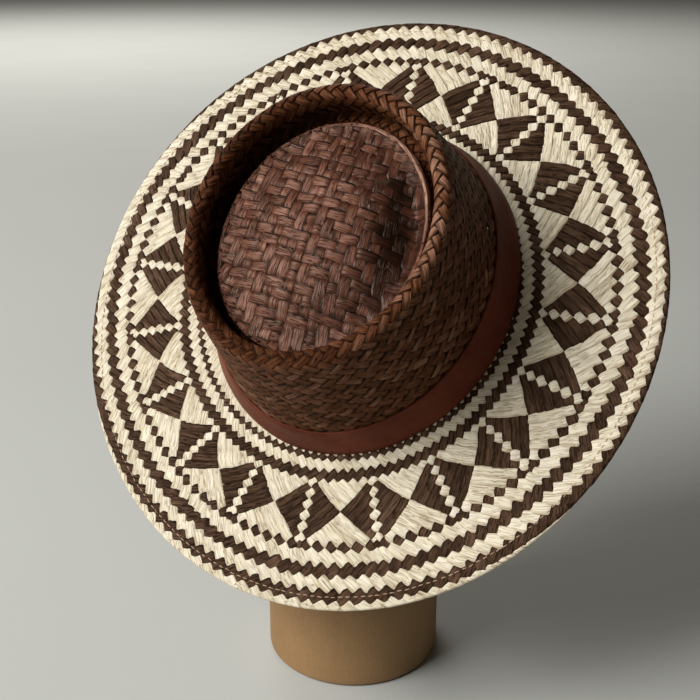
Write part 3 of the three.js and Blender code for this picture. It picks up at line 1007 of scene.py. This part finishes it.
leatherLook = {
    "name": "bandLeather", "grain": 900.0, "cloud": 26.0, "fine": 260.0, "rough": (0.34, 0.55),
    "cloudShare": 0.75, "grainWide": 0.25, "grainHigh": 1.6,
    "bump": 0.25, "depth": 0.2, "specular": 0.18, "tint": (1.0, 0.7, 0.58),
    "stops": [(0.3, (0.062, 0.010, 0.004)), (0.52, (0.115, 0.024, 0.011)), (0.75, (0.165, 0.043, 0.022))],
}


def leatherMaterial(look):
    material, tree = newMaterial(look["name"])
    place = addNode(tree, "ShaderNodeTexCoord").outputs["Object"]
    grain = addNode(tree, "ShaderNodeTexVoronoi", {"Vector": place, "Scale": look["grain"]},
                    feature="DISTANCE_TO_EDGE").outputs["Distance"]
    cloud = addNoise(tree, place, look["cloud"], 4.0, 0.6)
    fine = addNoise(tree, place, look["fine"], 3.0)
    tone = addMath(tree, "MULTIPLY", fine, 1 - look["cloudShare"])
    tone = addMath(tree, "MULTIPLY_ADD", cloud, look["cloudShare"], tone)
    height = addMath(tree, "MINIMUM", grain, look["grainWide"])
    height = addMath(tree, "MULTIPLY_ADD", height, look["grainHigh"], fine)
    rough = addRange(tree, cloud, (0.0, 1.0), look["rough"])
    return finished(material, addRamp(tree, tone, look["stops"]), rough, height, look)


paperLook = {
    "name": "standPaper", "fibres": 900.0, "upright": 0.35, "cloud": 14.0, "cloudShare": 0.6,
    "rough": (0.62, 0.8),
    "bump": 0.3, "depth": 0.1, "specular": 0.5, "tint": (1.0, 1.0, 1.0),
    "stops": [(0.3, (0.212, 0.118, 0.045)), (0.55, (0.28, 0.161, 0.065)), (0.8, (0.342, 0.208, 0.09))],
}


def paperMaterial(look):
    material, tree = newMaterial(look["name"])
    place = addNode(tree, "ShaderNodeTexCoord").outputs["Object"]
    drawn = addNode(tree, "ShaderNodeMapping", {"Vector": place, "Scale": (1.0, 1.0, look["upright"])})
    cloud = addNoise(tree, place, look["cloud"], 5.0)
    fine = addNoise(tree, drawn.outputs[0], look["fibres"], 3.0)
    tone = addMath(tree, "MULTIPLY", fine, 1 - look["cloudShare"])
    tone = addMath(tree, "MULTIPLY_ADD", cloud, look["cloudShare"], tone)
    rough = addRange(tree, fine, (0.0, 1.0), look["rough"])
    return finished(material, addRamp(tree, tone, look["stops"]), rough, fine, look)


buildBrim(strawMaterial(creamLook), strawMaterial(brownLook))
buildStitches(strawMaterial(threadLook))
buildCrownWall(strawMaterial(crownLook))
buildTip(strawMaterial(tipLook))
buildBand(leatherMaterial(leatherLook))
buildStand(paperMaterial(paperLook))

# Plain pale table, soft light from the upper left and a weak fill
studio = {
    "floorReach": 60.0, "floorColor": (0.475, 0.49, 0.475), "floorDarker": 0.97, "floorRough": 0.75,
    "worldColor": (1.0, 0.84, 0.62), "worldStrength": 0.058,
    "lights": [
        {"name": "windowLeft", "place": (-2.01, -1.08, 1.86), "aim": (0, 0, 0.22), "size": 1.6,
         "power": 122, "color": (1.0, 0.985, 0.95)},
        {"name": "roomBehind", "place": (-1.5, 5.0, 3.5), "aim": (-1.0, 6.0, 0), "size": 4.0,
         "power": 270, "color": (1.0, 0.975, 0.92)},
    ],
}


def buildStudio():
    reach = studio["floorReach"]
    mesh = bpy.data.meshes.new("tableTop")
    mesh.from_pydata([(-reach, -reach, 0), (reach, -reach, 0), (reach, reach, 0), (-reach, reach, 0)],
                     [], [(0, 1, 2, 3)])
    material, tree = newMaterial("paleTable")
    cloud = addNoise(tree, addNode(tree, "ShaderNodeTexCoord").outputs["Object"], 3.0, 4.0)
    darker = tuple(studio["floorDarker"] * share for share in studio["floorColor"])
    shader = tree.nodes["Principled BSDF"]
    tree.links.new(addRamp(tree, cloud, [(0.3, darker), (0.7, studio["floorColor"])]),
                   shader.inputs["Base Color"])
    shader.inputs["Roughness"].default_value = studio["floorRough"]
    mesh.materials.append(material)
    floor = bpy.data.objects.new("tableTop", mesh)
    bpy.context.collection.objects.link(floor)
    for lamp in studio["lights"]:
        light = bpy.data.lights.new(lamp["name"], "AREA")
        light.energy, light.size, light.color = lamp["power"], lamp["size"], lamp["color"]
        holder = bpy.data.objects.new(lamp["name"], light)
        holder.location = lamp["place"]
        x, y, z = np.array(lamp["aim"]) - np.array(lamp["place"])
        holder.rotation_euler = (math.atan2(math.hypot(x, y), -z), 0, math.atan2(-x, y))
        bpy.context.collection.objects.link(holder)
    world = bpy.data.worlds.new("studioSky")
    world.use_nodes = True
    sky = world.node_tree.nodes["Background"]
    sky.inputs["Color"].default_value = (*studio["worldColor"], 1)
    sky.inputs["Strength"].default_value = studio["worldStrength"]
    bpy.context.scene.world = world
    bpy.context.scene.view_settings.view_transform = "Standard"
    print("studio lit")


buildStudio()
